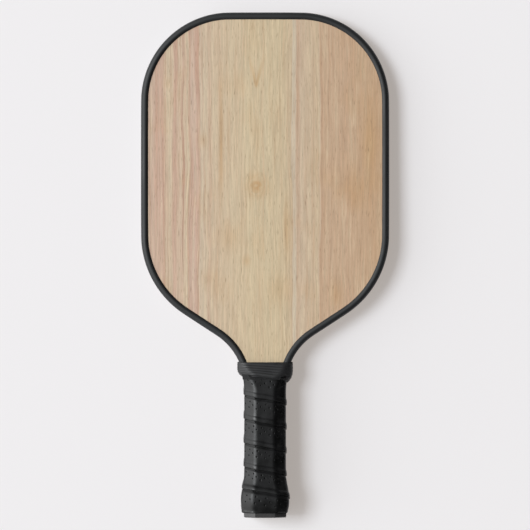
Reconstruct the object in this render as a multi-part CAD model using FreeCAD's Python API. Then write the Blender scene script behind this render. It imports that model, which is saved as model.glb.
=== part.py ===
import FreeCAD, Part
import math
import os

# Pickleball paddle lying flat: X across the face, Y from the butt to the head, Z out of the front face.
# Lengths are in millimetres.  Distances called "up" are measured along the paddle from the butt end.

LENGTH = 406.4
HALF_WIDTH = 100.0
MID_Z = 16.7                # height of the paddle's mid plane above the table

# Outline of the head, as arcs and tangent lines
TOP_CORNER_R = 71.8         # the two upper corners
SHOULDER_UP = 227.4         # where the straight sides end
SHOULDER_R = 76.6           # convex lower corners
SHOULDER_SWEEP = math.radians(57.1)
THROAT_R = 48.9             # concave run into the handle
THROAT_HALF = 16.9          # half width of the outline where it turns into the handle

# Panel layers, outward from the mid plane
CORE_HALF = 6.5
BOND_THICK = 0.1
SKIN_THICK = 0.4
FACE_THICK = 0.2
CELL_FLATS = 8.0            # honeycomb cell, across flats
CELL_WALL = 0.4
SKIN_INNER = CORE_HALF + BOND_THICK
FACE_INNER = SKIN_INNER + SKIN_THICK
PANEL_HALF = FACE_INNER + FACE_THICK

# Edge guard: a U-channel over the panel's edge
GUARD_WEB = 1.7
GUARD_TAPE = 0.3
GUARD_LIP = 6.0             # from the outer edge to the lip's inner edge
GUARD_HALF = PANEL_HALF + 1.0
GUARD_OUTER_R = 3.2
GUARD_LIP_R = 0.6
GUARD_TAPE_HALF = 5.5
GUARD_END_UP = 113.6        # the guard's tails end here, under the collar
PANEL_INSET = GUARD_WEB + GUARD_TAPE

# Octagonal handle: bevels keep one direction, so every facet stays flat
BEVEL_X = 9.0
BEVEL_Z = 5.5
BEVEL_LEN = math.hypot(BEVEL_X, BEVEL_Z)
FLAT_X_LOSS = (BEVEL_LEN - BEVEL_X) / BEVEL_Z   # shortening of the front flat per mm of inset
FLAT_Z_LOSS = (BEVEL_LEN - BEVEL_Z) / BEVEL_X   # shortening of the side flat per mm of inset
WRAP_THICK = 0.9
CUSHION_THICK = 1.2
SLEEVE_THICK = WRAP_THICK + CUSHION_THICK
CAP_WALL = 1.5

# Outside of the wrap: (up, half width, half thickness, bevel scale)
FLARE = [
    (3.7, 18.7, 15.7, 1.0),
    (9.0, 19.35, 16.35, 1.0),
    (15.0, 19.7, 16.7, 1.0),
    (21.0, 19.0, 16.0, 1.0),
    (25.0, 18.2, 15.2, 1.0),
    (29.0, 17.4, 14.4, 1.0),
    (33.0, 17.0, 14.0, 1.0),
]
WAIST_END = (104.0, 17.0, 14.0, 1.0)
WRAP_END = (113.0, 18.0, 12.3, 0.6)
WRAP = FLARE + [WAIST_END, WRAP_END]

# Outside of what the finishing tape is wound on
THROAT_MID = (118.0, 18.7, 10.6, 0.4)
THROAT_TOP = (124.8, 20.95, 8.6, 0.3)
TAPE_THICK = 0.3
TAPE_START = (111.0, 17.78, 12.68, 0.69)
TAPE_SEAT = [TAPE_START, WRAP_END, THROAT_MID, THROAT_TOP]

# Outside of the collar band
COLLAR = [
    (111.0, 18.8, 13.9, 0.9),
    (112.5, 20.2, 13.9, 0.8),
    (114.5, 21.3, 13.3, 0.6),
    (118.0, 22.1, 12.0, 0.5),
    (124.8, 22.15, 10.0, 0.4),
]

# Butt cap
RIM_TOP = 3.7
RIM_HALF_WIDTH = 17.0
RIM_HALF_THICK = 14.0
RIM_WALL = 3.0
RIM_CHAMFER = 0.7
RECESS_DEPTH = 1.2
CAVITY_START = 3.2
CAVITY_END = 33.0
STEPPED_HALF = 12.1         # half width of the tongue inside the cap

# Pallets
PALLET_TAPE = 0.3
PALLET_BASE = PANEL_HALF + PALLET_TAPE
PALLET_TAPE_HALF = 14.4
PALLET_TIP = (124.3, 15.0, 8.5, 0.3)
LIP_CLEARANCE = 0.2

# Staples through the cap
STAPLE_UP = 30.0
STAPLE_WIRE = 0.6
STAPLE_CROWN = 8.0
STAPLE_TOP = 12.15
STAPLE_TIP = 8.6


def at(up):
    """Return the Y coordinate of a distance measured up from the butt."""
    return up - LENGTH / 2


def point(x, y, z=0.0):
    """Return one point as a vector."""
    return FreeCAD.Vector(x, y, z)


def polar(centre, radius, angle):
    """Return the point at an angle on a circle in the face plane."""
    return point(centre.x + radius * math.cos(angle), centre.y + radius * math.sin(angle))


def arc(centre, radius, start, end):
    """Return the circular edge from one angle to another, through the middle angle."""
    middle = (start + end) / 2
    return Part.Arc(polar(centre, radius, start), polar(centre, radius, middle), polar(centre, radius, end)).toShape()


def line(start, end):
    """Return a straight edge."""
    return Part.makeLine(start, end)


def mirrored(edges):
    """Return the edges reflected to the other side of the paddle's centre line."""
    return [edge.mirror(point(0, 0), point(1, 0)) for edge in edges]


def head_side(inset):
    """Return the right-hand edges of the head outline, moved inward, and its lowest point."""
    top = at(LENGTH) - inset
    corner = point(HALF_WIDTH - TOP_CORNER_R, at(LENGTH) - TOP_CORNER_R)
    shoulder = point(HALF_WIDTH - SHOULDER_R, at(SHOULDER_UP))
    corner_r = TOP_CORNER_R - inset
    shoulder_r = SHOULDER_R - inset
    leave = polar(shoulder, SHOULDER_R, -SHOULDER_SWEEP)
    meet_x = THROAT_HALF + THROAT_R * (1 - math.cos(SHOULDER_SWEEP))
    run = (leave.x - meet_x) / math.sin(SHOULDER_SWEEP)
    meet = point(meet_x, leave.y - run * math.cos(SHOULDER_SWEEP))
    throat = polar(meet, THROAT_R, -SHOULDER_SWEEP)
    throat_r = THROAT_R + inset
    low = polar(throat, throat_r, math.pi)
    edges = [
        line(point(0, top), point(corner.x, top)),
        arc(corner, corner_r, math.pi / 2, 0),
        line(polar(corner, corner_r, 0), polar(shoulder, shoulder_r, 0)),
        arc(shoulder, shoulder_r, 0, -SHOULDER_SWEEP),
        line(polar(shoulder, shoulder_r, -SHOULDER_SWEEP), polar(throat, throat_r, math.pi - SHOULDER_SWEEP)),
        arc(throat, throat_r, math.pi - SHOULDER_SWEEP, math.pi),
    ]
    return edges, low


def closed_face(right_edges):
    """Return the face bounded by right-hand edges and their mirror images."""
    edges = right_edges + mirrored(right_edges)
    return Part.Face(Part.Wire(Part.__sortEdges__(edges)))


def head_face(inset):
    """Return the head outline closed straight across at the throat."""
    edges, low = head_side(inset)
    return closed_face(edges + [line(low, point(0, low.y))])


def panel_face(border=0.0):
    """Return the outline of the panel with its tongue, less an optional border all round."""
    edges, low = head_side(PANEL_INSET + border)
    waist = point(low.x, at(CAVITY_END) + border)
    step = point(STEPPED_HALF - border, at(CAVITY_END) + border)
    foot = point(STEPPED_HALF - border, at(CAVITY_START) + border)
    tongue = [line(low, waist), line(waist, step), line(step, foot), line(foot, point(0, foot.y))]
    return closed_face(edges + tongue)


def slab(face, low, high):
    """Return a flat outline raised into a solid between two heights."""
    lifted = face.translated(point(0, 0, low))
    return lifted.extrude(point(0, 0, high - low))


def above(up):
    """Return a large block that holds everything above a distance up the paddle."""
    return Part.makeBox(4 * HALF_WIDTH, LENGTH, 4 * HALF_WIDTH, point(-2 * HALF_WIDTH, at(up), -2 * HALF_WIDTH))


def cell_wire(centre):
    """Return one honeycomb cell with two of its walls along the paddle's length."""
    radius = (CELL_FLATS - CELL_WALL) / math.sqrt(3)
    corners = [polar(centre, radius, math.pi / 6 + turn * math.pi / 3) for turn in range(7)]
    return Part.makePolygon(corners)


def cell_centres():
    """Return the centres of a honeycomb grid that covers the whole panel."""
    row_rise = CELL_FLATS * math.sqrt(3) / 2
    rows = int(LENGTH / row_rise) + 1
    columns = int(HALF_WIDTH / CELL_FLATS) + 1
    centres = []
    for row in range(rows):
        shift = CELL_FLATS / 2 if row % 2 else 0.0
        for column in range(-columns, columns + 1):
            centres.append(point(column * CELL_FLATS + shift, at(0) + row * row_rise))
    return centres


def honeycomb_core():
    """Return the core: whole cells inside the panel, cut cells along its edge."""
    panel = panel_face()
    safe = panel_face(CELL_WALL)
    whole = []
    partial = []
    for centre in cell_centres():
        wire = cell_wire(centre)
        corners = [vertex.Point for vertex in wire.Vertexes]
        if all(safe.isInside(corner, 0.01, True) for corner in corners):
            whole.append(wire)
        elif any(panel.isInside(corner, 0.01, True) for corner in corners):
            partial.append(Part.Face(wire))
    trimmed = panel.cut(Part.makeCompound(partial))
    rim = max(trimmed.Faces, key=lambda face: face.Area)
    lattice = Part.Face([rim.OuterWire] + whole)
    return slab(lattice, -CORE_HALF, CORE_HALF)


def layer(low, high):
    """Return one full-outline layer of the panel on the front side."""
    return slab(panel_face(), low, high)


def guard_ring(outer_inset, inner_inset, half):
    """Return a ring that follows the head outline, closed at the throat only by the cut below."""
    outer = slab(head_face(outer_inset), -half, half)
    inner = slab(head_face(inner_inset), -2 * half, 2 * half)
    return outer.cut(inner).common(above(GUARD_END_UP))


def long_edges(shape, height, inset):
    """Return the edges at a height that lie on the outline moved inward by an inset."""
    wire = head_face(inset).OuterWire.translated(point(0, 0, height))
    found = []
    for edge in shape.Edges:
        middle = edge.valueAt((edge.FirstParameter + edge.LastParameter) / 2)
        flat = abs(edge.BoundBox.ZMax - height) < 0.01 and edge.BoundBox.ZLength < 0.01
        if flat and edge.BoundBox.YMax > at(GUARD_END_UP) + 1:
            if wire.distToShape(Part.Vertex(middle))[0] < 0.05:
                found.append(edge)
    return found


def edge_guard():
    """Return the U-channel with rounded outer corners and softened lips."""
    block = guard_ring(0.0, GUARD_LIP, GUARD_HALF)
    outer = long_edges(block, GUARD_HALF, 0.0) + long_edges(block, -GUARD_HALF, 0.0)
    rounded = block.makeFillet(GUARD_OUTER_R, outer)
    lips = long_edges(rounded, GUARD_HALF, GUARD_LIP) + long_edges(rounded, -GUARD_HALF, GUARD_LIP)
    softened = rounded.makeFillet(GUARD_LIP_R, lips)
    return softened.cut(slab(head_face(GUARD_WEB), -PANEL_HALF, PANEL_HALF))


def octagon(station, inset):
    """Return the handle section at a station, moved inward by an inset."""
    up, half_width, half_thick, scale = station
    half_x = half_width - inset
    half_z = half_thick - inset
    flat_x = half_width - BEVEL_X * scale - inset * FLAT_X_LOSS
    flat_z = half_thick - BEVEL_Z * scale - inset * FLAT_Z_LOSS
    quarter = [(half_x, flat_z), (flat_x, half_z)]
    upper = quarter + [(-x, z) for x, z in reversed(quarter)]
    ring = upper + [(-x, -z) for x, z in upper]
    corners = [point(x, at(up), z) for x, z in ring]
    return Part.makePolygon(corners + [corners[0]])


def loft(stations, inset):
    """Return the facetted solid through a run of handle sections."""
    return Part.makeLoft([octagon(station, inset) for station in stations], True, True)


def bar(station, up_start, up_end, inset):
    """Return a straight length of handle that keeps one section."""
    start = (up_start,) + station[1:]
    end = (up_end,) + station[1:]
    return loft([start, end], inset)


def sleeve(stations, outer_inset, inner_inset):
    """Return the tube between two insets of the same run of sections."""
    return loft(stations, outer_inset).cut(loft(stations, inner_inset))


def handle_former():
    """Return the octagonal body that the tongue and the pallets fill together."""
    stepped = bar(WAIST_END, CAVITY_START, CAVITY_END, SLEEVE_THICK + CAP_WALL)
    waist = bar(WAIST_END, CAVITY_END, WAIST_END[0], SLEEVE_THICK)
    ramp = loft([WAIST_END, WRAP_END], SLEEVE_THICK)
    end_section = (WRAP_END[0], WRAP_END[1] - SLEEVE_THICK, WRAP_END[2] - SLEEVE_THICK, PALLET_TIP[3])
    tip = loft([end_section, PALLET_TIP], 0.0)
    return stepped.fuse([waist, ramp, tip]).removeSplitter()


def front_staple():
    """Return the front staple: a crown across the cap and two legs into the pallet."""
    crown_start = point(-STAPLE_CROWN / 2, at(STAPLE_UP) - STAPLE_WIRE / 2, STAPLE_TOP - STAPLE_WIRE)
    crown = Part.makeBox(STAPLE_CROWN, STAPLE_WIRE, STAPLE_WIRE, crown_start)
    legs = []
    for leg_x in (-STAPLE_CROWN / 2, STAPLE_CROWN / 2 - STAPLE_WIRE):
        foot = point(leg_x, crown_start.y, STAPLE_TIP)
        legs.append(Part.makeBox(STAPLE_WIRE, STAPLE_WIRE, STAPLE_TOP - STAPLE_TIP, foot))
    return crown.fuse(legs).removeSplitter()


def front_pallet(staple):
    """Return the front pallet: the former above its tape, clear of the guard's lips and the staple."""
    base = Part.makeBox(2 * HALF_WIDTH, LENGTH, HALF_WIDTH, point(-HALF_WIDTH, at(0), PALLET_BASE))
    rim = slab(head_face(0.0).cut(head_face(GUARD_LIP + LIP_CLEARANCE)), 0, HALF_WIDTH)
    lips = rim.common(above(WRAP_END[0]))
    return handle_former().common(base).cut(lips).cut(staple)


def front_pallet_tape():
    """Return the strip between the front face and the front pallet."""
    waist = point(PALLET_TAPE_HALF, at(CAVITY_END))
    shoulder = point(PALLET_TAPE_HALF, at(WAIST_END[0]))
    step = point(STEPPED_HALF - PALLET_TAPE, at(CAVITY_END))
    foot = point(STEPPED_HALF - PALLET_TAPE, at(CAVITY_START))
    edges = [
        line(point(0, shoulder.y), shoulder),
        line(shoulder, waist),
        line(waist, step),
        line(step, foot),
        line(foot, point(0, foot.y)),
    ]
    return slab(closed_face(edges), PANEL_HALF, PALLET_BASE)


def butt_cap(staples):
    """Return the cap: a facetted rim, a flared skirt, a closed end with a shallow recess."""
    rim_section = (0.0, RIM_HALF_WIDTH, RIM_HALF_THICK, 1.0)
    block = bar(rim_section, 0.0, RIM_TOP, 0.0)
    end_edges = [edge for edge in block.Edges if edge.BoundBox.YMax < at(0) + 0.01]
    rim = block.makeChamfer(RIM_CHAMFER, end_edges)
    skirt = loft(FLARE, SLEEVE_THICK)
    recess = bar(rim_section, 0.0, RECESS_DEPTH, RIM_WALL)
    cavity = bar(WAIST_END, CAVITY_START, CAVITY_END, SLEEVE_THICK + CAP_WALL)
    return rim.fuse(skirt).removeSplitter().cut(recess).cut(cavity).cut(Part.makeCompound(staples))


def back(shape):
    """Return the matching piece on the back of the paddle."""
    return shape.mirror(point(0, 0), point(0, 0, 1))


def export(node, shape):
    """Write one sub-part, lifted so that the paddle rests on the table."""
    solids = shape.Solids
    if len(solids) != 1:
        raise ValueError(f"{node} has {len(solids)} solids")
    solid = solids[0].translated(point(0, 0, MID_Z))
    solid.exportStep(f"parts/{node}.step")
    print(f"{node}: {solid.Volume / 1000:.2f} cm3, {len(solid.Faces)} faces")


def export_pair(node, shape):
    """Write the front and back copies of a sub-part."""
    export(f"front_{node}", shape)
    export(f"back_{node}", back(shape))


def build():
    """Build and write every sub-part."""
    os.makedirs("parts", exist_ok=True)
    export("honeycomb_core", honeycomb_core())
    export_pair("bond_film", layer(CORE_HALF, SKIN_INNER))
    export_pair("fibreglass_skin", layer(SKIN_INNER, FACE_INNER))
    export_pair("wood_face", layer(FACE_INNER, PANEL_HALF))
    export("edge_guard", edge_guard())
    export("edge_guard_tape", guard_ring(GUARD_WEB, PANEL_INSET, GUARD_TAPE_HALF))
    staple = front_staple()
    export_pair("pallet_tape", front_pallet_tape())
    export_pair("handle_pallet", front_pallet(staple))
    export("butt_cap", butt_cap([staple, back(staple)]))
    export_pair("cap_staple", staple)
    export("grip_cushion", sleeve(WRAP, WRAP_THICK, SLEEVE_THICK))
    export("grip_wrap", sleeve(WRAP, 0.0, WRAP_THICK))
    export("finishing_tape", sleeve(TAPE_SEAT, -TAPE_THICK, 0.0))
    export("collar_band", loft(COLLAR, 0.0).cut(loft(TAPE_SEAT, -TAPE_THICK)))


build()
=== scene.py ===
"""Pickleball paddle lying on a pale table: wood-grain faces, rubber-like guard, wound perforated grip."""

import logging
import math
import random
from dataclasses import dataclass
from enum import Enum

import bmesh
import bpy
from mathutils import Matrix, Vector


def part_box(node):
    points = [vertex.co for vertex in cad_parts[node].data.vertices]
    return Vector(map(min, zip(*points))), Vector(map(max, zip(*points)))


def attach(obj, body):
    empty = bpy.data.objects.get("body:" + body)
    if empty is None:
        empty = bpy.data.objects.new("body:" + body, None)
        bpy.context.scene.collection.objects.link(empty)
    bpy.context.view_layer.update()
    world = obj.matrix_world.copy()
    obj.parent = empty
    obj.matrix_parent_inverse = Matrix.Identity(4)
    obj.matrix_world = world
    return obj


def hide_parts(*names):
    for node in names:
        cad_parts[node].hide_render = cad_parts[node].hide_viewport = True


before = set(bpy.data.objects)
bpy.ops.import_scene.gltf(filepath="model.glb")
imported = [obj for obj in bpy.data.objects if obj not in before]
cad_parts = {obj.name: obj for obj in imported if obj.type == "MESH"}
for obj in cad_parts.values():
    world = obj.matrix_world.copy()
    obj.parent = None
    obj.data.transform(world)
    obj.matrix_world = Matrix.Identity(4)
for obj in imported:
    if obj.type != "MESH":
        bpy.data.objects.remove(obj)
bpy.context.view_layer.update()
MM = 0.001
BODY = "root"
log = logging.getLogger("paddle")

Pair = tuple[float, float]
Point = tuple[float, float, float]
Colour = tuple[float, float, float, float]


def linear(code: str) -> Colour:
    """Turn an sRGB hex colour into the linear colour that a shader takes.

    Args:
        code: six hex digits, such as "c9b09b".

    Returns:
        Linear red, green, blue and an alpha of 1.
    """
    parts = [int(code[start:start + 2], 16) / 255 for start in (0, 2, 4)]
    red, green, blue = (p / 12.92 if p <= 0.04045 else ((p + 0.055) / 1.055) ** 2.4 for p in parts)
    return red, green, blue, 1.0


def add(tree: bpy.types.NodeTree, kind: str, *inputs: object, at: dict | None = None,
        **settings: object) -> bpy.types.Node:
    """Add one shader node with its settings, its values and its links.

    Args:
        tree: the node tree that gets the node.
        kind: the node's type without the "ShaderNode" prefix.
        inputs: values, nodes or sockets for the first inputs, in order; None leaves one alone.
        at: the same for inputs given by name or number.
        settings: properties of the node.

    Returns:
        The new node; as an input to another node it stands for its first output.
    """
    node = tree.nodes.new("ShaderNode" + kind)
    for name, value in settings.items():
        setattr(node, name, value)
    for place, value in [*enumerate(inputs), *(at or {}).items()]:
        if value is None:
            continue
        source = value.outputs[0] if isinstance(value, bpy.types.Node) else value
        if isinstance(source, bpy.types.NodeSocket):
            tree.links.new(source, node.inputs[place])
        else:
            node.inputs[place].default_value = source
    return node


def new_material(name: str) -> tuple[bpy.types.Material, bpy.types.NodeTree, bpy.types.Node, bpy.types.Node]:
    """Start a material with its surface shader and its coordinates in millimetres.

    Args:
        name: the real material and how it was made.

    Returns:
        The material, its tree, its Principled shader and the coordinates.
    """
    material = bpy.data.materials.new(name)
    material.use_nodes = True
    tree = material.node_tree
    shader = tree.nodes["Principled BSDF"]
    place = add(tree, "TexCoord")
    millimetres = add(tree, "VectorMath", place.outputs["Object"], (1 / MM,) * 3, operation="MULTIPLY")
    return material, tree, shader, millimetres


def stretched(tree: bpy.types.NodeTree, source: object, grain: Point) -> bpy.types.Node:
    """Scale coordinates so that one unit is one grain.

    Args:
        tree: the material's tree.
        source: coordinates in millimetres.
        grain: the size of a grain along each axis, in millimetres.

    Returns:
        The node with the scaled coordinates.
    """
    return add(tree, "VectorMath", source, tuple(1 / size for size in grain), operation="MULTIPLY")


class Wear(Enum):
    """How worn a finish is."""

    NEW = 0.0
    HANDLED = 0.35


@dataclass(frozen=True)
class MouldedFinish:
    """A moulded, extruded or foamed material: one colour, mottled, with a fine surface grain."""

    name: str
    colour: str
    mottle: str
    roughness: float
    grain_mm: float = 0.5
    depth_mm: float = 0.02
    mottle_mm: float = 22.0
    specular: float = 0.5
    wear: Wear = Wear.NEW

    def build(self) -> bpy.types.Material:
        """Return the material."""
        material, tree, shader, place = new_material(self.name)
        cloud = add(tree, "TexNoise", stretched(tree, place, (self.mottle_mm,) * 3),
                    at={"Scale": 1.0, "Detail": 3.0})
        amount = add(tree, "MapRange", cloud, 0.35, 0.68, 0.0, 1.0)
        tone = add(tree, "Mix", amount, at={6: linear(self.colour), 7: linear(self.mottle)}, data_type="RGBA")
        tree.links.new(tone.outputs[2], shader.inputs["Base Color"])
        cells = add(tree, "TexVoronoi", stretched(tree, place, (self.grain_mm,) * 3), at={"Scale": 1.0})
        rubbed = self.roughness + 0.07 + 0.1 * self.wear.value
        rub = add(tree, "MapRange", cloud, 0.3, 0.7, self.roughness - 0.05, rubbed)
        tree.links.new(rub.outputs[0], shader.inputs["Roughness"])
        bump = add(tree, "Bump", 0.6, self.depth_mm * MM, at={"Height": cells})
        tree.links.new(bump.outputs[0], shader.inputs["Normal"])
        shader.inputs["Specular IOR Level"].default_value = self.specular
        return material


@dataclass(frozen=True)
class WovenFinish:
    """A woven cloth or glass layer, drawn as two crossed sets of threads."""

    name: str
    colour: str
    gap: str
    thread_mm: float
    roughness: float

    def build(self) -> bpy.types.Material:
        """Return the material."""
        material, tree, shader, place = new_material(self.name)
        turns = 2 * math.pi / self.thread_mm
        split = add(tree, "SeparateXYZ", place)
        waves = []
        for axis in (0, 1):
            angle = add(tree, "Math", split.outputs[axis], turns, operation="MULTIPLY")
            waves.append(add(tree, "Math", angle, operation="SINE"))
        weave = add(tree, "Math", waves[0], waves[1], operation="MULTIPLY")
        amount = add(tree, "MapRange", weave, -0.6, 0.6, 0.0, 1.0)
        tone = add(tree, "Mix", amount, at={6: linear(self.gap), 7: linear(self.colour)}, data_type="RGBA")
        tree.links.new(tone.outputs[2], shader.inputs["Base Color"])
        bump = add(tree, "Bump", 0.5, 0.05 * MM, at={"Height": weave})
        tree.links.new(bump.outputs[0], shader.inputs["Normal"])
        shader.inputs["Roughness"].default_value = self.roughness
        return material


@dataclass(frozen=True)
class BrushedSteel:
    """Galvanised staple wire, drawn along its length."""

    name: str = "Galvanised drawn steel wire"
    colour: str = "b4b6b8"
    roughness: float = 0.38

    def build(self) -> bpy.types.Material:
        """Return the material."""
        material, tree, shader, place = new_material(self.name)
        lines = add(tree, "TexNoise", stretched(tree, place, (4.0, 0.1, 0.1)),
                    at={"Scale": 1.0, "Detail": 2.0})
        rub = add(tree, "MapRange", lines, 0.3, 0.7, self.roughness - 0.08, self.roughness + 0.1)
        tree.links.new(rub.outputs[0], shader.inputs["Roughness"])
        shader.inputs["Base Color"].default_value = linear(self.colour)
        shader.inputs["Metallic"].default_value = 1.0
        return material


@dataclass(frozen=True)
class Knot:
    """A small knot, swirl or resin mark in the veneer, with the grain parting round it."""

    x: float
    y: float
    radius: float
    push: float
    dark: float
    length: float = 1.6
    ringed: bool = False


@dataclass(frozen=True)
class WoodVeneer:
    """Pale sliced pine veneer under satin lacquer: pinkish left third, cream middle, tan right."""

    name: str = "Sliced pine veneer under satin lacquer"
    # Distance across the face in mm, and the colour there
    bands: tuple[tuple[float, str], ...] = (
        (-100, "ceb6a2"), (-92, "ceb29d"), (-82, "ccac97"), (-80.2, "c5a28b"), (-79, "d1bca1"),
        (-74.4, "cfb89e"), (-73, "cdae99"), (-70.6, "c8a791"), (-70.0, "d0baa1"), (-65.4, "caac96"),
        (-64.2, "d1bca1"), (-61.4, "cfb89e"), (-60.6, "bd9781"), (-59.6, "cfb6a2"), (-54.8, "cdaf9b"),
        (-53.2, "c4a18a"), (-52.4, "d0bda4"), (-44, "ceb79c"), (-10, "d1bd9c"), (12, "cdb998"),
        (20.2, "cab495"), (20.9, "bfa183"), (21.8, "ccbca4"), (24.2, "ccbba3"), (25.2, "c3a58b"),
        (28.6, "cab399"), (42.2, "c9b193"), (43.6, "cdb69b"), (44.8, "c09f82"), (48, "c5a78a"),
        (66, "c4a588"), (100, "c0a07f"),
    )
    pink: str = "c0937e"
    straw: str = "e0cfae"
    tan: str = "b58a66"
    late: str = "ad7f6b"
    resin: str = "bb8f5c"
    pore: str = "7d5c40"
    knots: tuple[Knot, ...] = (
        Knot(-6.5, 63.5, 7.0, 3.0, 0.72, 1.1, True),
        Knot(-50.0, 100.0, 3.4, 1.8, 0.30, 1.4),
        Knot(-35.5, 97.0, 1.5, 0.0, 0.50, 26.0),
        Knot(-29.0, 21.0, 8.0, 0.5, 0.24, 1.2),
        Knot(-15.0, 3.5, 3.0, 0.8, 0.34, 1.3),
        Knot(17.5, 28.0, 2.6, 0.4, 0.36, 7.0),
        Knot(11.0, -20.0, 7.5, 0.5, 0.26, 1.4),
        Knot(57.0, -24.0, 4.5, 0.4, 0.34, 2.2),
        Knot(84.5, 96.0, 5.5, 0.8, 0.46, 5.5),
        Knot(71.0, 66.0, 9.0, 0.4, 0.26, 1.8),
        Knot(-78.0, 146.0, 2.4, 1.4, 0.25, 1.6),
    )
    flame: Pair = (-5.7, 143.5)
    roughness: float = 0.46

    def parted(self, tree: bpy.types.NodeTree,
               place: bpy.types.Node) -> tuple[object, object, object, object]:
        """Bend the straight grain with slow wander and round each knot.

        Args:
            tree: the material's tree.
            place: coordinates in millimetres.

        Returns:
            Plain x, plain y, bent x, and how close the point is to a knot's heart.
        """
        split = add(tree, "SeparateXYZ", place)
        plain_x, plain_y = split.outputs[0], split.outputs[1]
        bent = plain_x
        for size, reach in (((48.0, 300.0, 1.0), 2.8), ((13.0, 48.0, 1.0), 1.5)):
            drift = add(tree, "TexNoise", stretched(tree, place, size), at={"Scale": 1.0, "Detail": 2.0},
                        noise_dimensions="2D")
            shift = add(tree, "MapRange", drift, 0.0, 1.0, -reach, reach)
            bent = add(tree, "Math", bent, shift, operation="ADD")
        heart = None
        for knot in self.knots:
            across = add(tree, "Math", plain_x, 1 / knot.radius, -knot.x / knot.radius,
                         operation="MULTIPLY_ADD")
            tall = knot.radius * knot.length
            along = add(tree, "Math", plain_y, 1 / tall, -knot.y / tall, operation="MULTIPLY_ADD")
            across_sq = add(tree, "Math", across, across, operation="MULTIPLY")
            reach_sq = add(tree, "Math", along, along, across_sq, operation="MULTIPLY_ADD")
            mark = add(tree, "Math", math.exp(-0.8), reach_sq, operation="POWER")
            if knot.push:
                side = add(tree, "Math", across, operation="TANH")
                shove = add(tree, "Math", side, mark, operation="MULTIPLY")
                bent = add(tree, "Math", shove, -knot.push, bent, operation="MULTIPLY_ADD")
            if knot.ringed:
                uneven = add(tree, "TexNoise", stretched(tree, place, (6.0, 6.0, 1.0)),
                             at={"Scale": 1.0, "Detail": 1.0}, noise_dimensions="2D")
                wobble = add(tree, "Math", uneven, 9.0, operation="MULTIPLY")
                ring = add(tree, "Math", add(tree, "Math", reach_sq, operation="SQRT"), 6.0, wobble,
                           operation="MULTIPLY_ADD")
                ripple = add(tree, "Math", add(tree, "Math", ring, operation="COSINE"), 0.26, 0.74,
                             operation="MULTIPLY_ADD")
                mark = add(tree, "Math", mark, ripple, operation="MULTIPLY")
            mark = add(tree, "Math", mark, knot.dark, operation="MULTIPLY")
            heart = mark if heart is None else add(tree, "Math", heart, mark, operation="MAXIMUM")
        return plain_x, plain_y, bent, heart

    def build(self) -> bpy.types.Material:
        """Return the material."""
        material, tree, shader, place = new_material(self.name)
        plain_x, plain_y, bent, heart = self.parted(tree, place)
        grain = add(tree, "CombineXYZ", bent, plain_y, 0.0)

        # Broad bands of colour across the sheet
        across = add(tree, "MapRange", bent, -100.0, 100.0, 0.0, 1.0)
        ramp = add(tree, "ValToRGB", across)
        stops = ramp.color_ramp.elements
        stops[0].position, stops[0].color = 0.0, linear(self.bands[0][1])
        stops[1].position, stops[1].color = 1.0, linear(self.bands[-1][1])
        for x, code in self.bands[1:-1]:
            stops.new((x + 100) / 200).color = linear(code)
        colour = ramp.outputs[0]

        # The left third has pink and straw streaks, the rest only a trace of them
        left = add(tree, "MapRange", plain_x, -64.0, -34.0, 1.0, 0.2, interpolation_type="SMOOTHSTEP")
        streaks = add(tree, "TexNoise", stretched(tree, grain, (3.6, 420.0, 1.0)),
                      at={"Scale": 1.0, "Detail": 4.0, "Roughness": 0.65}, noise_dimensions="2D")
        for low, high, code, depth in ((0.50, 0.66, self.pink, 0.46), (0.48, 0.34, self.straw, 0.46)):
            amount = add(tree, "MapRange", streaks, low, high, 0.0, depth)
            share = add(tree, "Math", amount, left, operation="MULTIPLY")
            colour = add(tree, "Mix", share, at={6: colour, 7: linear(code)}, data_type="RGBA").outputs[2]

        # Thin reddish late-wood lines in the left third
        lines = add(tree, "TexNoise", stretched(tree, grain, (1.5, 170.0, 1.0)),
                    at={"Scale": 1.0, "Detail": 2.0}, noise_dimensions="2D")
        amount = add(tree, "MapRange", lines, 0.57, 0.70, 0.0, 0.5)
        share = add(tree, "Math", amount, left, operation="MULTIPLY")
        colour = add(tree, "Mix", share, at={6: colour, 7: linear(self.late)}, data_type="RGBA").outputs[2]

        # Finer streaks over the whole sheet, 3 mm wide and a finger's length long
        threads = add(tree, "TexNoise", stretched(tree, grain, (3.1, 74.0, 1.0)),
                      at={"Scale": 1.0, "Detail": 5.0, "Roughness": 0.8}, noise_dimensions="2D")
        for low, high, code, depth in ((0.52, 0.74, self.tan, 0.34), (0.48, 0.28, self.straw, 0.38)):
            share = add(tree, "MapRange", threads, low, high, 0.0, depth)
            colour = add(tree, "Mix", share, at={6: colour, 7: linear(code)}, data_type="RGBA").outputs[2]

        # Soft resin blotches
        blotch = add(tree, "TexNoise", stretched(tree, grain, (30.0, 42.0, 1.0)),
                     at={"Scale": 1.0, "Detail": 3.0}, noise_dimensions="2D")
        share = add(tree, "MapRange", blotch, 0.56, 0.78, 0.0, 0.20)
        colour = add(tree, "Mix", share, at={6: colour, 7: linear(self.resin)}, data_type="RGBA").outputs[2]
        colour = add(tree, "Mix", heart, at={6: colour, 7: linear(self.resin)}, data_type="RGBA").outputs[2]

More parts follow.
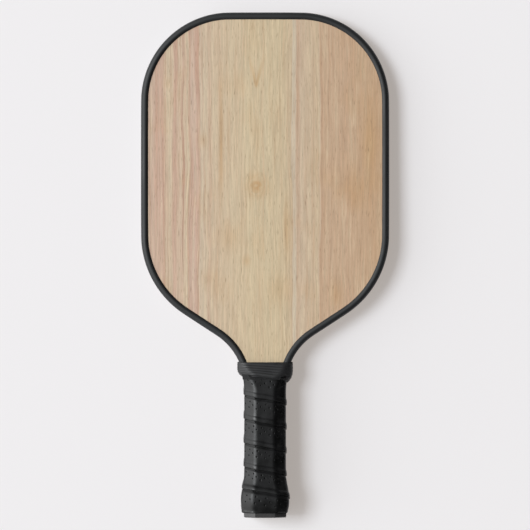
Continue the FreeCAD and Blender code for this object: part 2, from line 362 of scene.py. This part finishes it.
        # The tip of a growth ring shows as two brown lines that part upwards from one point
        tip_x, tip_y = self.flame
        sideways = add(tree, "Math", bent, tip_x, operation="SUBTRACT")
        aside = add(tree, "Math", sideways, operation="ABSOLUTE")
        above = add(tree, "Math", plain_y, tip_y, operation="SUBTRACT")
        off_line = add(tree, "Math", above, -0.22, aside, operation="MULTIPLY_ADD")
        gap = add(tree, "Math", off_line, operation="ABSOLUTE")
        line = add(tree, "MapRange", gap, 0.2, 2.2, 0.52, 0.0, interpolation_type="SMOOTHSTEP")
        rise = add(tree, "MapRange", above, -2.0, 1.0, 0.0, 1.0)
        fade = add(tree, "MapRange", above, 3.0, 27.0, 1.0, 0.0)
        risen = add(tree, "Math", line, rise, operation="MULTIPLY")
        share = add(tree, "Math", risen, fade, operation="MULTIPLY")
        colour = add(tree, "Mix", share, at={6: colour, 7: linear(self.resin)}, data_type="RGBA").outputs[2]

        # Fibres about 1 mm apart in runs of a few centimetres, lighter and darker
        fibres = add(tree, "TexNoise", stretched(tree, grain, (1.4, 30.0, 1.0)),
                     at={"Scale": 1.0, "Detail": 4.0, "Roughness": 0.7}, noise_dimensions="2D")
        shade = add(tree, "MapRange", fibres, 0.3, 0.7, 0.88, 1.12)
        height = add(tree, "MapRange", plain_y, -80.0, 200.0, 1.02, 0.985)
        shade = add(tree, "Math", shade, height, operation="MULTIPLY")
        colour = add(tree, "VectorMath", colour, shade, operation="MULTIPLY")

        # Pores: short dark dashes along the grain
        pores = add(tree, "TexNoise", stretched(tree, grain, (0.6, 7.5, 1.0)),
                    at={"Scale": 1.0, "Detail": 1.0}, noise_dimensions="2D")
        share = add(tree, "MapRange", pores, 0.66, 0.84, 0.0, 0.55)
        colour = add(tree, "Mix", share, at={6: colour, 7: linear(self.pore)}, data_type="RGBA").outputs[2]
        tree.links.new(colour, shader.inputs["Base Color"])

        rub = add(tree, "MapRange", fibres, 0.3, 0.7, self.roughness + 0.05, self.roughness - 0.04)
        tree.links.new(rub.outputs[0], shader.inputs["Roughness"])
        bump = add(tree, "Bump", 0.35, 0.03 * MM, at={"Height": fibres})
        tree.links.new(bump.outputs[0], shader.inputs["Normal"])
        shader.inputs["Specular IOR Level"].default_value = 0.35
        return material


def dress(node: str, material: bpy.types.Material) -> None:
    """Give a carried-over CAD piece its material.

    Args:
        node: the piece's name.
        material: what it is made of.
    """
    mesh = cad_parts[node].data
    mesh.materials.clear()
    mesh.materials.append(material)
    log.info("%s: %s", node, material.name)


def make_piece(name: str, mesh: bmesh.types.BMesh, material: bpy.types.Material,
               node: str) -> bpy.types.Object:
    """Turn a cage into a piece that stands for a CAD node.

    Args:
        name: the piece's name.
        mesh: the cage, in metres; it is freed.
        material: what the piece is made of.
        node: the CAD node that it replaces.

    Returns:
        The new object.
    """
    data = bpy.data.meshes.new(name)
    for face in mesh.faces:
        face.smooth = True
    mesh.to_mesh(data)
    mesh.free()
    piece = bpy.data.objects.new(name, data)
    bpy.context.scene.collection.objects.link(piece)
    data.materials.append(material)
    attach(piece, BODY)
    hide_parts(node)
    log.info("%s: %d cage faces for %s", name, len(data.polygons), node)
    return piece


def smoothed(piece: bpy.types.Object, levels: int) -> None:
    """Add a live subdivision surface.

    Args:
        piece: the object.
        levels: how many times each face is divided.
    """
    stack = piece.modifiers.new("soften", "SUBSURF")
    stack.levels = levels
    stack.render_levels = levels


@dataclass(frozen=True)
class Station:
    """One cross section of the handle: distance up from the butt, half sizes and bevel scale, in mm."""

    up: float
    half_w: float
    half_t: float
    bevel: float = 1.0


@dataclass
class Handle:
    """The octagon that everything on the handle is wound on."""

    bevel_x: float = 9.0
    bevel_z: float = 5.5
    # An octagon's way round, as a share of the way round the box that holds it
    octagon_share: float = 0.87
    # How far round to look each way for the surface's slope, as a fraction of a turn
    slope_step: float = 0.004

    def __post_init__(self) -> None:
        """Take the butt's place and the mid height from the CAD frame."""
        low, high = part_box("butt_cap")
        self.butt = low.y / MM
        self.middle = (low.z + high.z) / 2 / MM

    def blend(self, stations: tuple[Station, ...], up: float, soften: float) -> Station:
        """Find the section at a height, with the joins between stations smoothed.

        Args:
            stations: sections from low to high.
            up: distance up from the butt.
            soften: how far to each side the sizes are averaged.

        Returns:
            The section at that height.
        """
        sums = [0.0, 0.0, 0.0]
        for offset in (-soften, 0.0, soften):
            here = min(max(up + offset, stations[0].up), stations[-1].up)
            for low, high in zip(stations, stations[1:]):
                if here <= high.up:
                    break
            part = (here - low.up) / (high.up - low.up)
            for index, size in enumerate(("half_w", "half_t", "bevel")):
                start = getattr(low, size)
                sums[index] += (start + part * (getattr(high, size) - start)) / 3
        return Station(up, *sums)

    def walk(self, section: Station, turn: float) -> Pair:
        """Go round an octagon from the middle of its front, towards +X.

        Args:
            section: the octagon's sizes.
            turn: how far round, as a fraction of the whole way.

        Returns:
            x and z from the handle's axis.
        """
        wide, thick = section.half_w, section.half_t
        flat_x = wide - self.bevel_x * section.bevel
        flat_z = thick - self.bevel_z * section.bevel
        ring = [(0.0, thick), (flat_x, thick), (wide, flat_z), (wide, -flat_z), (flat_x, -thick)]
        ring += [(-x, z) for x, z in reversed(ring[1:])] + [(0.0, thick)]
        spans = [math.dist(a, b) for a, b in zip(ring, ring[1:])]
        left = (turn % 1.0) * sum(spans)
        for start, end, span in zip(ring, ring[1:], spans):
            if left <= span:
                break
            left -= span
        part = left / span
        return start[0] + part * (end[0] - start[0]), start[1] + part * (end[1] - start[1])

    def rounded(self, section: Station, turn: float, soften: float) -> Pair:
        """Go round an octagon whose corners are rounded.

        Args:
            section: the octagon's sizes.
            turn: how far round, as a fraction.
            soften: how far to each side of a corner it is rounded, in mm.

        Returns:
            x and z from the handle's axis.
        """
        reach = soften / (4 * (section.half_w + section.half_t) * self.octagon_share)
        steps = (-1.0, -0.5, 0.0, 0.5, 1.0)
        spots = [self.walk(section, turn + step * reach) for step in steps]
        return sum(x for x, _ in spots) / len(steps), sum(z for _, z in spots) / len(steps)

    def surface(self, section: Station, turn: float, lift: float, soften: float) -> Vector:
        """Place a point above the rounded octagon.

        Args:
            section: the octagon's sizes and its height up the handle.
            turn: how far round, as a fraction.
            lift: how far out from the octagon, in mm.
            soften: how far each corner is rounded, in mm.

        Returns:
            The point in metres, in the paddle's frame.
        """
        x, z = self.rounded(section, turn, soften)
        before = self.rounded(section, turn - self.slope_step, soften)
        after = self.rounded(section, turn + self.slope_step, soften)
        run_x, run_z = after[0] - before[0], after[1] - before[1]
        length = math.hypot(run_x, run_z)
        x -= lift * run_z / length
        z += lift * run_x / length
        return Vector((x, self.butt + section.up, self.middle + z)) * MM


@dataclass
class SpiralGrip:
    """Perforated cushioned tape wound up the handle, each turn lapped over the one below."""

    handle: Handle
    stations: tuple[Station, ...] = (
        Station(3.7, 18.5, 15.5), Station(9.0, 19.4, 16.4), Station(15.0, 19.8, 16.8),
        Station(21.0, 19.1, 16.1), Station(25.0, 18.3, 15.3), Station(29.0, 17.5, 14.5),
        Station(33.0, 17.1, 14.1), Station(38.0, 17.0, 14.0), Station(104.0, 17.0, 14.0),
        Station(113.0, 18.0, 12.6, 0.6), Station(118.0, 19.6, 11.4, 0.5),
    )
    # Height of the lapped edge at the front's middle line, turn by turn
    laps: tuple[Pair, ...] = ((-2.0, 133.6), (3.0, 37.4), (4.0, 20.8), (5.4, -10.5))
    # Across one turn: place between two lapped edges, and height of the tape's surface in mm
    profile: tuple[Pair, ...] = (
        (0.0, -0.95), (-0.008, -0.20), (0.002, 0.28), (0.03, 0.46), (0.09, 0.43), (0.15, 0.36),
        (0.19, 0.12), (0.225, -0.14), (0.30, -0.18), (0.40, -0.18), (0.47, -0.18), (0.54, -0.18),
        (0.60, -0.18), (0.665, -0.18), (0.73, -0.18), (0.79, -0.18), (0.85, -0.19), (0.90, -0.28),
        (0.948, -0.80), (1.0, -0.95),
    )
    # Place in the profile of each row of holes, and how many columns it is shifted
    hole_rows: tuple[tuple[int, int], ...] = ((11, 7), (13, 3), (15, 0))
    columns_per_hole: int = 8
    holes_per_turn: float = 15.5
    hole_radius: float = 0.52
    hole_depth: float = 0.7
    # A hole's worn lip and its floor, as shares of its radius, and how deep the lip goes
    lip_share: float = 1.25
    floor_share: float = 0.9
    lip_depth: float = 0.12
    perimeter: float = 108.0
    first_turn: float = -1.0
    last_turn: float = 5.9
    low_end: float = 3.9
    high_end: float = 116.5
    # How far in the tape's bottom edge tucks, and how near a row must be to be moved onto it
    tuck: float = 1.9
    snap: float = 1.6
    # The tape thins over the cap: by how much, below what height and over what distance
    thinning: float = 0.25
    thinning_top: float = 7.4
    thinning_run: float = 0.9
    # How far the joins between stations and the corners are smoothed
    spread: float = 2.4
    corner: float = 1.7
    seed: int = 7

    def lap(self, turn: float) -> float:
        """Return the height of the lapped edge after a number of turns."""
        for (start, high), (end, low) in zip(self.laps, self.laps[1:]):
            if turn <= end:
                break
        # The edge wavers a little, as on tape wound by hand
        wave = 0.16 * math.sin(turn * 23.0) + 0.12 * math.sin(turn * 61.0 + 1.3)
        return high + (turn - start) / (end - start) * (low - high) + wave

    def spot(self, turn: float, part: float, lift: float) -> Vector:
        """Place one point of the tape.

        Args:
            turn: how many turns from the front's middle line.
            part: where across the turn, from its lapped edge to the next one above.
            lift: height over the handle's section, in mm.

        Returns:
            The point in metres.
        """
        low, high = self.lap(turn), self.lap(turn - 1.0)
        up = low + part * (high - low)
        if up < self.low_end:
            lift -= min(self.low_end - up, self.tuck)
            up = self.low_end
        up = min(up, self.high_end)
        thinner = self.thinning * min(max((self.thinning_top - up) / self.thinning_run, 0.0), 1.0)
        section = self.handle.blend(self.stations, up, self.spread)
        return self.handle.surface(section, turn, lift - thinner, self.corner)

    def cage(self) -> bmesh.types.BMesh:
        """Return the tape as a strip of quads with punched holes."""
        mesh = bmesh.new()
        chance = random.Random(self.seed)
        per_turn = self.columns_per_hole * self.holes_per_turn
        count = int((self.last_turn - self.first_turn) * per_turn) + 1
        turns = [self.first_turn + column / per_turn for column in range(count)]
        grid = []
        for turn in turns:
            rows = []
            for part, lift in self.profile:
                low, high = self.lap(turn), self.lap(turn - 1.0)
                rows.append([part, lift, low + part * (high - low)])
            nearest = min(rows, key=lambda row: abs(row[2] - self.low_end))
            if abs(nearest[2] - self.low_end) < self.snap:
                nearest[0] = (self.low_end - low) / (high - low)
            dent = 0.05 * math.sin(turn * 37.0) + chance.uniform(-0.008, 0.008)
            grid.append([mesh.verts.new(self.spot(turn, part, lift + dent)) for part, lift, _ in rows])
        punched = self.punch_list(turns)
        for column in range(count - 1):
            for row in range(len(self.profile) - 1):
                near = {(column, row), (column + 1, row), (column, row + 1), (column + 1, row + 1)}
                if near & punched:
                    continue
                mesh.faces.new((grid[column][row], grid[column + 1][row], grid[column + 1][row + 1],
                                grid[column][row + 1]))
        for column, row in sorted(punched):
            self.punch(mesh, grid, turns, column, row)
        return mesh

    def punch_list(self, turns: list[float]) -> set[tuple[int, int]]:
        """Return the grid places of the holes that show."""
        found = set()
        for row, shift in self.hole_rows:
            part = self.profile[row][0]
            for column in range(1 + shift, len(turns) - 2, self.columns_per_hole):
                low, high = self.lap(turns[column]), self.lap(turns[column] - 1.0)
                up = low + part * (high - low)
                if self.low_end + 4.0 < up < self.high_end - 3.0:
                    found.add((column, row))
        return found

    def punch(self, mesh: bmesh.types.BMesh, grid: list, turns: list[float], column: int, row: int) -> None:
        """Replace four quads by a round hole with walls and a floor.

        Args:
            mesh: the tape's cage.
            grid: its vertices by column and row.
            turns: the turn of each column.
            column: the hole's column.
            row: the hole's row.
        """
        steps = ((1, 0), (1, 1), (0, 1), (-1, 1), (-1, 0), (-1, -1), (0, -1), (1, -1))
        outer = [grid[column + dx][row + dy] for dx, dy in steps]
        part, lift = self.profile[row]
        rise = self.lap(turns[column] - 1.0) - self.lap(turns[column])
        rings = []
        for radius, height in ((self.hole_radius * self.lip_share, lift),
                               (self.hole_radius, lift - self.lip_depth),
                               (self.hole_radius * self.floor_share, lift - self.hole_depth)):
            ring = []
            for index in range(len(steps)):
                angle = index * math.pi / 4
                turn = turns[column] + radius * math.cos(angle) / self.perimeter
                ring.append(mesh.verts.new(self.spot(turn, part + radius * math.sin(angle) / rise, height)))
            rings.append(ring)
        for above, below in zip([outer, *rings], rings):
            for index in range(len(steps)):
                after = (index + 1) % len(steps)
                mesh.faces.new((above[index], above[after], below[after], below[index]))
        mesh.faces.new(rings[-1])
        bmesh.ops.delete(mesh, geom=[grid[column][row]], context="VERTS")

    def build(self, material: bpy.types.Material) -> bpy.types.Object:
        """Build the grip.

        Args:
            material: what the tape is made of.

        Returns:
            The new piece.
        """
        mesh = self.cage()
        bmesh.ops.remove_doubles(mesh, verts=mesh.verts, dist=0.004 * MM)
        bmesh.ops.recalc_face_normals(mesh, faces=mesh.faces)
        piece = make_piece("grip_spiral_wrap", mesh, material, "grip_wrap")
        smoothed(piece, 1)
        return piece


@dataclass
class Collar:
    """A band of thin tape turns at the throat, each turn's edge showing as a fine rib."""

    handle: Handle
    stations: tuple[Station, ...] = (
        Station(110.8, 17.5, 13.3, 0.95), Station(111.4, 18.8, 13.9, 1.05), Station(112.4, 20.0, 14.1, 1.12),
        Station(113.8, 21.1, 13.8, 1.1), Station(116.0, 22.1, 13.1, 0.98), Station(119.0, 22.4, 12.2, 0.8),
        Station(124.8, 22.3, 10.2, 0.5),
    )
    ribs: int = 6
    rib_rise: float = 0.28
    # Where along a rib it is highest, and how far its foot sinks
    rib_crest: float = 0.75
    rib_sink: float = 0.1
    columns: int = 96
    rows_per_rib: int = 6
    tape_end_x: float = 8.2
    tape_end_drop: float = 0.8
    tape_end_run: float = 0.8
    tilt: float = 0.55
    lean_side: float = 2.5
    lean_front: float = 2.2
    wall: float = 1.1
    rim_share: float = 0.45
    # How far the joins between stations and the corners are smoothed
    spread: float = 0.5
    softness: float = 2.4

    def cage(self) -> bmesh.types.BMesh:
        """Return the band as a closed ring of quads."""
        mesh = bmesh.new()
        low, high = self.stations[0].up, self.stations[-1].up
        rows = self.ribs * self.rows_per_rib
        rings = []
        for row in range(rows + 3):
            ring = []
            for column in range(self.columns):
                turn = column / self.columns
                part = min(row, rows) / rows
                phase = (part * self.ribs + self.tilt * math.sin(2 * math.pi * (turn + 0.12))) % 1.0
                slope = min(phase / self.rib_crest, (1.0 - phase) / (1.0 - self.rib_crest))
                rise = self.rib_rise * slope - self.rib_sink
                fade = min(1.0, part * 8, (1.0 - part) * 14)
                up = low + part * (high - low)
                section = self.handle.blend(self.stations, up, self.spread)
                angle = 2 * math.pi * turn
                lean = self.lean_front * math.cos(angle) - self.lean_side * math.sin(angle)
                up += lean * (1.0 - part) ** 1.5
                x, z = self.handle.walk(section, turn)
                if z > 0:
                    cut = min(max((x - self.tape_end_x) / self.tape_end_run, 0.0), 1.0)
                    up -= self.tape_end_drop * cut * part ** 6
                section = Station(up, section.half_w, section.half_t, section.bevel)
                lift = rise * fade
                if row == rows + 1:
                    lift -= self.wall * self.rim_share
                if row == rows + 2:
                    lift -= self.wall
                ring.append(mesh.verts.new(self.handle.surface(section, turn, lift, self.softness)))
            rings.append(ring)
        inner = []
        for column in range(self.columns):
            turn = column / self.columns
            inner.append(mesh.verts.new(self.handle.surface(self.stations[0], turn, -0.4, self.softness)))
        rings.insert(0, inner)
        for lower, upper in zip(rings, rings[1:] + rings[:1]):
            for column in range(self.columns):
                after = (column + 1) % self.columns
                mesh.faces.new((lower[column], lower[after], upper[after], upper[column]))
        return mesh

    def build(self, material: bpy.types.Material) -> bpy.types.Object:
        """Build the collar.

        Args:
            material: what the band is made of.

        Returns:
            The new piece.
        """
        mesh = self.cage()
        bmesh.ops.recalc_face_normals(mesh, faces=mesh.faces)
        piece = make_piece("throat_collar", mesh, material, "collar_band")
        smoothed(piece, 1)
        return piece


@dataclass
class EdgeGuard:
    """The extruded channel round the head, its lips rounded down to the wood faces."""

    handle: Handle
    corner_r: float = 71.8
    shoulder_up: float = 227.4
    shoulder_r: float = 76.6
    sweep: float = math.radians(57.1)
    throat_r: float = 48.9
    throat_half: float = 16.9
    end_up: float = 113.6
    arc_step: float = math.radians(5.0)
    # Half of the channel's section: distance in from its outer edge and height from the mid plane
    section: tuple[Pair, ...] = (
        (0.0, 0.0), (0.0, 3.8), (0.12, 5.9), (0.8, 7.5), (2.0, 8.4), (3.3, 8.65), (4.4, 8.45),
        (5.3, 7.85), (6.08, 7.22), (5.5, 7.22), (1.7, 7.22),
    )

    def arcs(self) -> list[tuple[Vector, float, float, float]]:
        """Return the right half's arcs, head to throat: centre, signed radius, first and last angle."""
        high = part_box("edge_guard")[1] / MM
        butt = self.handle.butt
        corner = Vector((high.x - self.corner_r, high.y - self.corner_r))
        shoulder = Vector((high.x - self.shoulder_r, butt + self.shoulder_up))
        slant = Vector((math.cos(self.sweep), -math.sin(self.sweep)))
        leave = shoulder + slant * self.shoulder_r
        meet_x = self.throat_half + self.throat_r * (1 - slant.x)
        meet = leave - Vector((-slant.y, slant.x)) * (leave.x - meet_x) / -slant.y
        throat = meet + slant * self.throat_r
        last = math.pi - math.asin((butt + self.end_up - throat.y) / self.throat_r)
        return [
            (corner, self.corner_r, math.pi / 2, 0.0),
            (shoulder, self.shoulder_r, 0.0, -self.sweep),
            (throat, -self.throat_r, math.pi - self.sweep, last),
        ]

    def route(self) -> list[tuple[Vector, Vector]]:
        """Return points round the outline from tail to tail, each with its outward direction."""
        right = []
        for centre, radius, first, last in self.arcs():
            count = math.ceil(abs(last - first) / self.arc_step)
            for index in range(count + 1):
                angle = first + (last - first) * index / count
                away = Vector((math.cos(angle), math.sin(angle)))
                right.append((centre + away * abs(radius), away * math.copysign(1.0, radius)))
        left = [(Vector((-spot.x, spot.y)), Vector((-out.x, out.y))) for spot, out in reversed(right)]
        return left + right

    def cage(self) -> bmesh.types.BMesh:
        """Return the channel as a closed tube of quads that follows the outline."""
        mesh = bmesh.new()
        ring = [*self.section, *((inset, -up) for inset, up in reversed(self.section[1:]))]
        loops = []
        for spot, out in self.route():
            loop = []
            for inset, up in ring:
                flat = spot - out * inset
                loop.append(mesh.verts.new(Vector((flat.x, flat.y, self.handle.middle + up)) * MM))
            loops.append(loop)
        for near, far in zip(loops, loops[1:]):
            for index in range(len(ring)):
                after = (index + 1) % len(ring)
                mesh.faces.new((near[index], near[after], far[after], far[index]))
        mesh.faces.new(loops[0])
        mesh.faces.new(loops[-1])
        return mesh

    def build(self, material: bpy.types.Material) -> bpy.types.Object:
        """Build the guard.

        Args:
            material: what the channel is made of.

        Returns:
            The new piece.
        """
        mesh = self.cage()
        bmesh.ops.recalc_face_normals(mesh, faces=mesh.faces)
        piece = make_piece("guard_channel", mesh, material, "edge_guard")
        smoothed(piece, 2)
        return piece


@dataclass
class Studio:
    """A pale table whose even glow is painted light lifting its shadow, one large soft light from the left, a
    dim dome, and a long lens straight above.
    """

    view_width: float = 427.3
    distance: float = 3.0
    sensor: float = 36.0
    aim: Pair = (-0.08, -0.2)
    flare_up: float = 15.0
    rim_in: float = 3.2
    table_gap: float = 0.05
    table_size: float = 12.0
    table_colour: str = "b9bbc0"
    # Even warm emission of the table: painted light that lifts and warms the paddle's shadow on it
    table_glow: Point = (0.398, 0.364, 0.340)
    key_azimuth: float = 168.0
    key_elevation: float = 54.0
    key_distance: float = 14.0
    key_size: float = 5.6
    key_power: float = 1530.0
    key_tint: Point = (0.97, 1.0, 1.02)
    dome: float = 3.1
    dome_falloff: float = 5.4
    backdrop: float = 0.86

    def table(self) -> None:
        """Lay the table so that the flare and the far end of the head both touch it."""
        low_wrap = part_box("grip_wrap")[0]
        low_guard, high_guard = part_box("edge_guard")
        near = Vector((0, low_wrap.y + self.flare_up * MM, low_wrap.z))
        far = Vector((0, high_guard.y - self.rim_in * MM, low_guard.z))
        along = (far - near).normalized() * self.table_size / 2
        side = Vector((self.table_size / 2, 0, 0))
        mesh = bpy.data.meshes.new("table")
        drop = Vector((0, 0, -self.table_gap * MM))
        corners = [near - side - along, near + side - along, near + side + along, near - side + along]
        mesh.from_pydata([corner + drop for corner in corners], [], [(0, 1, 2, 3)])
        table = bpy.data.objects.new("table", mesh)
        bpy.context.scene.collection.objects.link(table)
        material, tree, shader, place = new_material("Matt opal acrylic table with a painted glow")
        cloud = add(tree, "TexNoise", stretched(tree, place, (0.6,) * 3), at={"Scale": 1.0, "Detail": 3.0})
        bump = add(tree, "Bump", 0.05, 0.02 * MM, at={"Height": cloud})
        tree.links.new(bump.outputs[0], shader.inputs["Normal"])
        # The cool base colour and the warm glow keep the lit table neutral while the shadow turns warm: the
        # glow is painted light, not a lamp
        shader.inputs["Base Color"].default_value = linear(self.table_colour)
        shader.inputs["Roughness"].default_value = 0.9
        shader.inputs["Specular IOR Level"].default_value = 0.1
        shader.inputs["Emission Color"].default_value = (*self.table_glow, 1.0)
        shader.inputs["Emission Strength"].default_value = 1.0
        mesh.materials.append(material)

    def lights(self) -> None:
        """Hang the soft light on the left and shade the dome off to the right."""
        lamp = bpy.data.lights.new("softbox", "AREA")
        lamp.shape = "SQUARE"
        lamp.size = self.key_size
        lamp.energy = self.key_power
        lamp.color = self.key_tint
        softbox = bpy.data.objects.new("softbox", lamp)
        azimuth, elevation = math.radians(self.key_azimuth), math.radians(self.key_elevation)
        toward = Vector((math.cos(azimuth) * math.cos(elevation), math.sin(azimuth) * math.cos(elevation),
                         math.sin(elevation)))
        softbox.location = toward * self.key_distance
        softbox.rotation_euler = toward.to_track_quat("Z", "Y").to_euler()
        softbox.visible_camera = False
        bpy.context.scene.collection.objects.link(softbox)
        world = bpy.data.worlds.new("studio")
        world.use_nodes = True
        tree = world.node_tree
        sky = tree.nodes["Background"]
        place = add(tree, "TexCoord")
        split = add(tree, "SeparateXYZ", place.outputs["Generated"])
        leftness = add(tree, "MapRange", split.outputs[0], -1.0, 1.0, 1.0, 0.0)
        glow = add(tree, "Math", leftness, self.dome_falloff, operation="POWER")
        shade = add(tree, "Math", glow, self.dome, operation="MULTIPLY")
        path = add(tree, "LightPath")
        seen = add(tree, "Mix", path, at={2: shade, 3: self.backdrop}, data_type="FLOAT")
        tree.links.new(seen.outputs[0], sky.inputs["Strength"])
        sky.inputs["Color"].default_value = (1.0, 1.0, 1.0, 1.0)
        bpy.context.scene.world = world

    def camera(self) -> None:
        """Set the long lens straight above the paddle, with the head up the picture."""
        lens = bpy.data.cameras.new("long_lens")
        lens.sensor_width = self.sensor
        lens.lens = self.sensor * self.distance / (self.view_width * MM)
        lens.clip_end = 50.0
        camera = bpy.data.objects.new("long_lens", lens)
        low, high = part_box("butt_cap")
        camera.location = (self.aim[0] * MM, self.aim[1] * MM, (low.z + high.z) / 2 + self.distance)
        bpy.context.scene.collection.objects.link(camera)
        bpy.context.scene.camera = camera

    def build(self) -> None:
        """Build the whole studio."""
        self.camera()
        self.table()
        self.lights()
        bpy.context.scene.view_settings.view_transform = "Standard"


@dataclass
class Paddle:
    """The whole paddle: which finish each carried-over piece gets, and the three remade pieces."""

    handle: Handle

    def dress_cad(self) -> None:
        """Give every carried-over piece its finish."""
        # Injection-moulded ABS: smooth satin with crisp facets
        cap = MouldedFinish("Injection moulded ABS", "383737", "3e3c3c", 0.28, 0.5, 0.006, 15.0)
        # Extruded polypropylene honeycomb: milky
        core = MouldedFinish("Extruded polypropylene honeycomb", "dcdedc", "cfd2cf", 0.5, 1.5, 0.02, 18.0)
        # Cured epoxy film: amber
        film = MouldedFinish("Cured epoxy film", "c9b277", "bfa568", 0.3, 1.0, 0.01, 12.0)
        # Rigid polyurethane foam: dark and cellular
        foam = MouldedFinish("Rigid polyurethane foam", "38383a", "2f2f31", 0.85, 0.7, 0.12, 9.0)
        # Closed-cell EVA foam: matt black, its own colour darkened further as painted shade where it shows
        # inside the grip's holes
        eva = MouldedFinish("Closed-cell EVA foam", "0b0b0b", "0e0e0e", 0.95, 0.35, 0.05, 8.0, 0.1)
        # Acrylic adhesive on a film carrier: off-white and tacky
        acrylic = MouldedFinish("Acrylic adhesive strip", "e6e4dc", "dad7cd", 0.4, 1.2, 0.02, 10.0)
        # Plain-woven E-glass in epoxy: threads 1 mm apart show as a faint check
        glass = WovenFinish("Woven fibreglass in epoxy", "c4cbb4", "aeb69c", 1.2, 0.3)
        # Woven cotton tape, black, threads 0.6 mm apart
        cotton = WovenFinish("Woven cotton tape", "151516", "0d0d0e", 0.6, 0.85)
        finishes = {
            WoodVeneer(): ("front_wood_face", "back_wood_face"),
            cap: ("butt_cap",),
            core: ("honeycomb_core",),
            film: ("front_bond_film", "back_bond_film"),
            glass: ("front_fibreglass_skin", "back_fibreglass_skin"),
            foam: ("front_handle_pallet", "back_handle_pallet"),
            acrylic: ("edge_guard_tape", "front_pallet_tape", "back_pallet_tape"),
            eva: ("grip_cushion",),
            cotton: ("finishing_tape",),
            BrushedSteel(): ("front_cap_staple", "back_cap_staple"),
        }
        for finish, nodes in finishes.items():
            material = finish.build()
            for node in nodes:
                dress(node, material)

    def build(self) -> None:
        """Build and dress the paddle."""
        self.dress_cad()
        # Polyurethane-coated tape: near-black satin, pebbled about 0.5 mm, rubbed duller in patches
        tape = MouldedFinish("Pebbled polyurethane grip tape", "090909", "0d0d0e", 0.40, 0.55, 0.022, 9.0,
                             0.4, Wear.HANDLED)
        # Vinyl finishing band: smooth satin, slightly greyer than the grip
        vinyl = MouldedFinish("Calendered vinyl band", "1f1f20", "252526", 0.52, 0.4, 0.008, 12.0)
        # Thermoplastic elastomer extrusion: satin, a little lighter where it curves to the light
        guard = MouldedFinish("Extruded thermoplastic elastomer", "191a1b", "1d1f20", 0.58, 0.45, 0.012, 30.0)
        EdgeGuard(self.handle).build(guard.build())
        SpiralGrip(self.handle).build(tape.build())
        Collar(self.handle).build(vinyl.build())


def main() -> None:
    """Build the studio and the paddle in order."""
    logging.basicConfig(level=logging.INFO, format="%(name)s: %(message)s")
    Studio().build()
    Paddle(Handle()).build()


if __name__ == "__main__":
    main()
